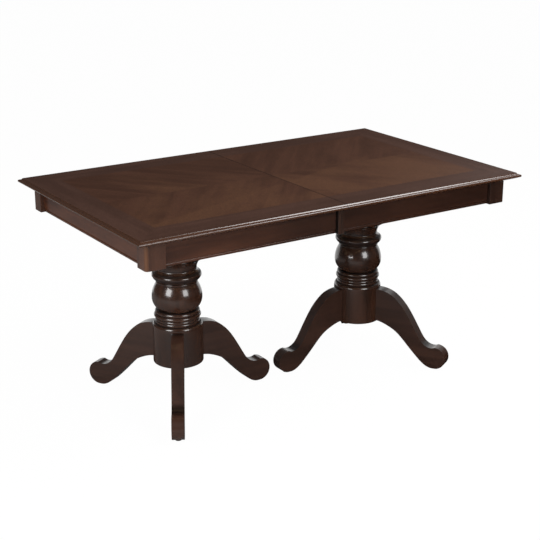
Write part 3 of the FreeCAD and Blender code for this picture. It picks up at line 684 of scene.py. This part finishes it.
for at, name in enumerate(quarters):
    post_wood, shader, grain, spot = wood(
        "post_wood_" + name, (0, 90, 0), (at * 0.4, at * 0.6, 0), post_dark, post_light, **satin_finish
    )
    tree = post_wood.node_tree
    axes = put(tree, "ShaderNodeSeparateXYZ")
    plug(tree, axes.inputs[0], spot.outputs["Object"])
    away = [
        calc(tree, "SUBTRACT", limit, calc(tree, "ABSOLUTE", axes.outputs[axis]))
        for axis, limit in zip("XY", post_corner)
    ]
    squares = calc(tree, "MULTIPLY_ADD", away[0], away[0], calc(tree, "MULTIPLY", away[1], away[1]))
    rubbed = spread(tree, calc(tree, "SQRT", squares), *rub_reach, 1.0, 0.0)
    thin = spread(tree, grain.outputs["Streaks"], 0.0, 1.0, least_rubbed, 1.0)
    rubbed = calc(tree, "MULTIPLY", rubbed, thin)
    colour = blend_colours(tree, rubbed, grain.outputs["Color"], rubbed_colour)
    # Like the aprons, the posts are painted darker toward the seam and over the right half: painted shade.
    plug(tree, shader.inputs["Base Color"], paint_right_shade(tree, spot, colour))
    ease(dress("post_" + name, post_wood), post_easing)


# A small block closes each long apron at the seam, where the halves part. It stands proud of the apron,
# and the corner between them is painted nearly black, as painted shade in the recess.
block_dark = (0.02, 0.0078, 0.004, 1)
block_light = (0.046, 0.0175, 0.0095, 1)
corner_shade_colour = (0.004, 0.0018, 0.0012, 1)
shaded_depth = (414.5 * mm, 416.4 * mm)
seam_block_easing = 1.0

for at, name in enumerate(quarters):
    seam_wood, shader, grain, spot = wood(
        "seam_wood_" + name, (0, 90, 0), (at * 0.5, 0.9, 0), block_dark, block_light, **satin_finish
    )
    tree = seam_wood.node_tree
    axes = put(tree, "ShaderNodeSeparateXYZ")
    plug(tree, axes.inputs[0], spot.outputs["Object"])
    # Painted shade in the recessed corner beside the apron.
    shade_mask = spread(tree, calc(tree, "ABSOLUTE", axes.outputs["Y"]), *shaded_depth, 1.0, 0.0)
    colour = blend_colours(tree, shade_mask, grain.outputs["Color"], corner_shade_colour)
    plug(tree, shader.inputs["Base Color"], colour)
    ease(dress("seam_block_" + name, seam_wood), seam_block_easing)


# The top is in two halves with a moulded edge. Its veneer is laid in four quarters that run out from
# the middle to the corners, inside a straight border, and is stained and lacquered over.
veneer_dark = (0.044, 0.0166, 0.0082, 1)
veneer_light = (0.07, 0.028, 0.015, 1)
veneer_gold = (0.093, 0.0405, 0.0188, 1)
border_dark = (0.043, 0.019, 0.0122, 1)
border_light = (0.066, 0.031, 0.0212, 1)
edge_wood_colour = (0.05, 0.02, 0.01, 1)
veneer_finish = {"coat_roughness": 0.12, "pore_depth": 0.3}
field_roughness, edge_roughness = 0.44, 0.26
field_coat, edge_coat = 0.0, 0.6
veneer_specular = 0.24
quarter_turn = 50
quarter_shifts = (1.7, 0.9)
border_starts = (648 * mm, 338 * mm)
border_pores = 0.3
flat_ends = (749.5 * mm, 444.5 * mm)
top_face = 761.2 * mm
edge_starts = 1.0 * mm
seam_line = (1.0 * mm, 2.6 * mm)
seam_shade = 0.9
speck_colour = (0.026, 0.0092, 0.0042, 1)
speck_scale = (230, 230, 230)
speck_range = (0.35, 0.62)
speck_share = 0.5

# Golden clouds in the veneer. Fewer are painted in the two far quarters, and more past a slanting line in
# the near right one. This shift is painted light: the near quarters catch more light than the far ones.
cloud_scale = (2.4, 5.5, 1)
cloud_range = (0.44, 0.72)
gold_share = 0.7
far_shade_shift = -0.06
slant, slant_starts, near_light_shift = 3.0, 300 * mm, 0.08


def step_at(tree, value, limit, softness=0.4 * mm):
    """One above the limit and nothing below it."""
    return spread(tree, value, limit - softness, limit + softness)


for side in column_places:
    veneer, shader, grain, spot = wood(
        "quartered_veneer_" + side, (0, 0, 0), (0, 0, 0), veneer_dark, veneer_light, **veneer_finish
    )
    tree = veneer.node_tree
    axes = put(tree, "ShaderNodeSeparateXYZ")
    plug(tree, axes.inputs[0], spot.outputs["Object"])
    x, y, z = axes.outputs["X"], axes.outputs["Y"], axes.outputs["Z"]
    wide, deep = calc(tree, "ABSOLUTE", x), calc(tree, "ABSOLUTE", y)
    turn = math.radians(quarter_turn)
    run = calc(tree, "MULTIPLY", deep, math.sin(turn))
    run = calc(tree, "MULTIPLY_ADD", wide, math.cos(turn), run)
    rise = calc(tree, "MULTIPLY", deep, math.cos(turn))
    rise = calc(tree, "MULTIPLY_ADD", wide, -math.sin(turn), rise)
    shift = calc(tree, "MULTIPLY", calc(tree, "SIGN", y), quarter_shifts[1])
    shift = calc(tree, "MULTIPLY_ADD", calc(tree, "SIGN", x), quarter_shifts[0], shift)
    lay = put(tree, "ShaderNodeCombineXYZ")
    plug(tree, lay.inputs[0], calc(tree, "ADD", run, shift))
    plug(tree, lay.inputs[1], rise)
    plug(tree, lay.inputs[2], z)
    plug(tree, grain.inputs["Vector"], lay.outputs[0])
    clouds = spots(tree, lay.outputs[0], cloud_scale, detail=3.0, roughness=0.55)
    # Painted light: the far quarters are shaded and the near right one is lit up.
    far_shade = calc(tree, "MULTIPLY", step_at(tree, y, 0.0), far_shade_shift)
    slanted = calc(tree, "SUBTRACT", x, calc(tree, "MULTIPLY", y, slant))
    near_light = calc(tree, "MULTIPLY", step_at(tree, slanted, slant_starts), near_light_shift)
    clouds = calc(tree, "ADD", clouds, calc(tree, "ADD", far_shade, near_light))
    gold = spread(tree, clouds, *cloud_range, 0.0, gold_share)
    quarter = blend_colours(tree, gold, grain.outputs["Color"], veneer_gold)
    past_end = step_at(tree, wide, border_starts[0])
    past_side = step_at(tree, deep, border_starts[1])
    past_mitre = calc(tree, "SUBTRACT", wide, flat_ends[0])
    past_mitre = calc(tree, "SUBTRACT", past_mitre, calc(tree, "SUBTRACT", deep, flat_ends[1]))
    across = step_at(tree, past_mitre, 0.0)
    strip = put(tree, "ShaderNodeMix", data_type="VECTOR")
    plug(tree, strip.inputs["Factor"], across)
    plug(tree, strip.inputs[4], spot.outputs["Object"])
    crossed = put(tree, "ShaderNodeCombineXYZ")
    for socket, value in zip(crossed.inputs, (y, x, z)):
        plug(tree, socket, value)
    plug(tree, strip.inputs[5], crossed.outputs[0])
    border = put(tree, "ShaderNodeGroup", node_tree=wood_grain)
    plug(tree, border.inputs["Vector"], strip.outputs[1])
    border.inputs["Dark"].default_value = border_dark
    border.inputs["Light"].default_value = border_light
    border.inputs["Pore Depth"].default_value = border_pores
    framed = calc(tree, "MAXIMUM", past_end, past_side)
    colour = blend_colours(tree, framed, quarter, border.outputs["Color"])
    moulded = calc(tree, "MAXIMUM", step_at(tree, wide, flat_ends[0]), step_at(tree, deep, flat_ends[1]))
    moulded = calc(tree, "MAXIMUM", moulded, spread(tree, z, top_face - edge_starts, top_face, 1.0, 0.0))
    colour = blend_colours(tree, moulded, colour, edge_wood_colour)
    # The top is painted darker in a narrow band along the seam: painted shade from the gap between the
    # halves.
    seam_shade_mask = spread(tree, wide, *seam_line, seam_shade, 0.0)
    colour = blend_colours(tree, seam_shade_mask, colour, shade_and_glaze_colour)
    specks = spots(tree, spot.outputs["Object"], speck_scale, detail=3.0, roughness=0.6)
    specks = spread(tree, specks, *speck_range, 0.0, speck_share)
    colour = blend_colours(tree, specks, colour, speck_colour)
    plug(tree, shader.inputs["Base Color"], colour)
    rough = spread(tree, moulded, 0.0, 1.0, field_roughness, edge_roughness)
    plug(tree, shader.inputs["Roughness"], rough)
    plug(tree, shader.inputs["Coat Weight"], spread(tree, moulded, 0.0, 1.0, field_coat, edge_coat))
    shader.inputs["Specular IOR Level"].default_value = veneer_specular
    dress("top_" + side, veneer)


# A strip of black felt is glued to the seam face of the left half, and the halves close on it quietly. It
# is a dark strip put into the seam for the shade inside it, so that no light shows through the gap.
felt_thick = (-0.3 * mm, 0.24 * mm)
felt_long = (-444 * mm, 444 * mm)
felt_high = (743 * mm, 760.6 * mm)
felt_black = (0.012, 0.009, 0.008, 1)
felt_fuzz = (0.035, 0.028, 0.025, 1)
fibre_scale = (900, 300, 900)
fibre_range = (0.35, 0.65)
fuzz_range = (0.3, 0.7)
felt_roughness = (0.85, 1.0)
felt_bump = (0.4, 0.2 * mm)

points = [(x, y, z) for x in felt_thick for y in felt_long for z in felt_high]
faces = [(0, 1, 3, 2), (4, 6, 7, 5), (0, 4, 5, 1), (2, 3, 7, 6), (0, 2, 6, 4), (1, 5, 7, 3)]
mesh = bpy.data.meshes.new("seam_felt")
mesh.from_pydata(points, [], faces)
seam_shade_strip = bpy.data.objects.new("seam_felt", mesh)
scene.collection.objects.link(seam_shade_strip)
felt = bpy.data.materials.new("seam_shade_felt")
felt.use_nodes = True
tree = felt.node_tree
shader = tree.nodes["Principled BSDF"]
spot = put(tree, "ShaderNodeTexCoord")
fibres = spots(tree, spot.outputs["Object"], fibre_scale, detail=4.0, roughness=0.6)
colour = blend_colours(tree, spread(tree, fibres, *fibre_range), felt_black, felt_fuzz)
plug(tree, shader.inputs["Base Color"], colour)
plug(tree, shader.inputs["Roughness"], spread(tree, fibres, *fuzz_range, *felt_roughness))
bump = put(tree, "ShaderNodeBump")
bump.inputs["Strength"].default_value, bump.inputs["Distance"].default_value = felt_bump
plug(tree, bump.inputs["Height"], fibres)
plug(tree, shader.inputs["Normal"], bump.outputs[0])
mesh.materials.append(felt)
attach(seam_shade_strip, "left_half")


# Pins across the seam bring the two halves level when they close. They are turned steel, pressed
# into the left half.
pin_bright = (0.58, 0.58, 0.6, 1)
pin_dull = (0.36, 0.35, 0.34, 1)

pin_steel = skinned("pin_steel", brushed_metal, pin_bright, pin_dull, **steel_finish)
dress("alignment_pins", pin_steel)


# A lock at the front and at the back pulls the halves together: a bracket with a hooked lever on one
# half and a keeper on the other. They are pressed from steel and plated.
plate_bright = (0.5, 0.48, 0.43, 1)
plate_dull = (0.3, 0.28, 0.25, 1)
lever_bright = (0.56, 0.55, 0.52, 1)
lever_dull = (0.34, 0.33, 0.31, 1)
plate_finish = {"height": 0.06 * mm, "metallic": 1.0, "rough": 0.32}
lever_finish = {"height": 0.06 * mm, "metallic": 1.0, "rough": 0.26}

lock_plate = skinned("lock_plate_steel", brushed_metal, plate_bright, plate_dull, **plate_finish)
lever_plate = skinned("lock_lever_steel", brushed_metal, lever_bright, lever_dull, **lever_finish)
for face in ("front", "back"):
    dress("lock_bracket_" + face, lock_plate)
    dress("lock_lever_" + face, lever_plate)
dress("lock_keepers", lock_plate)
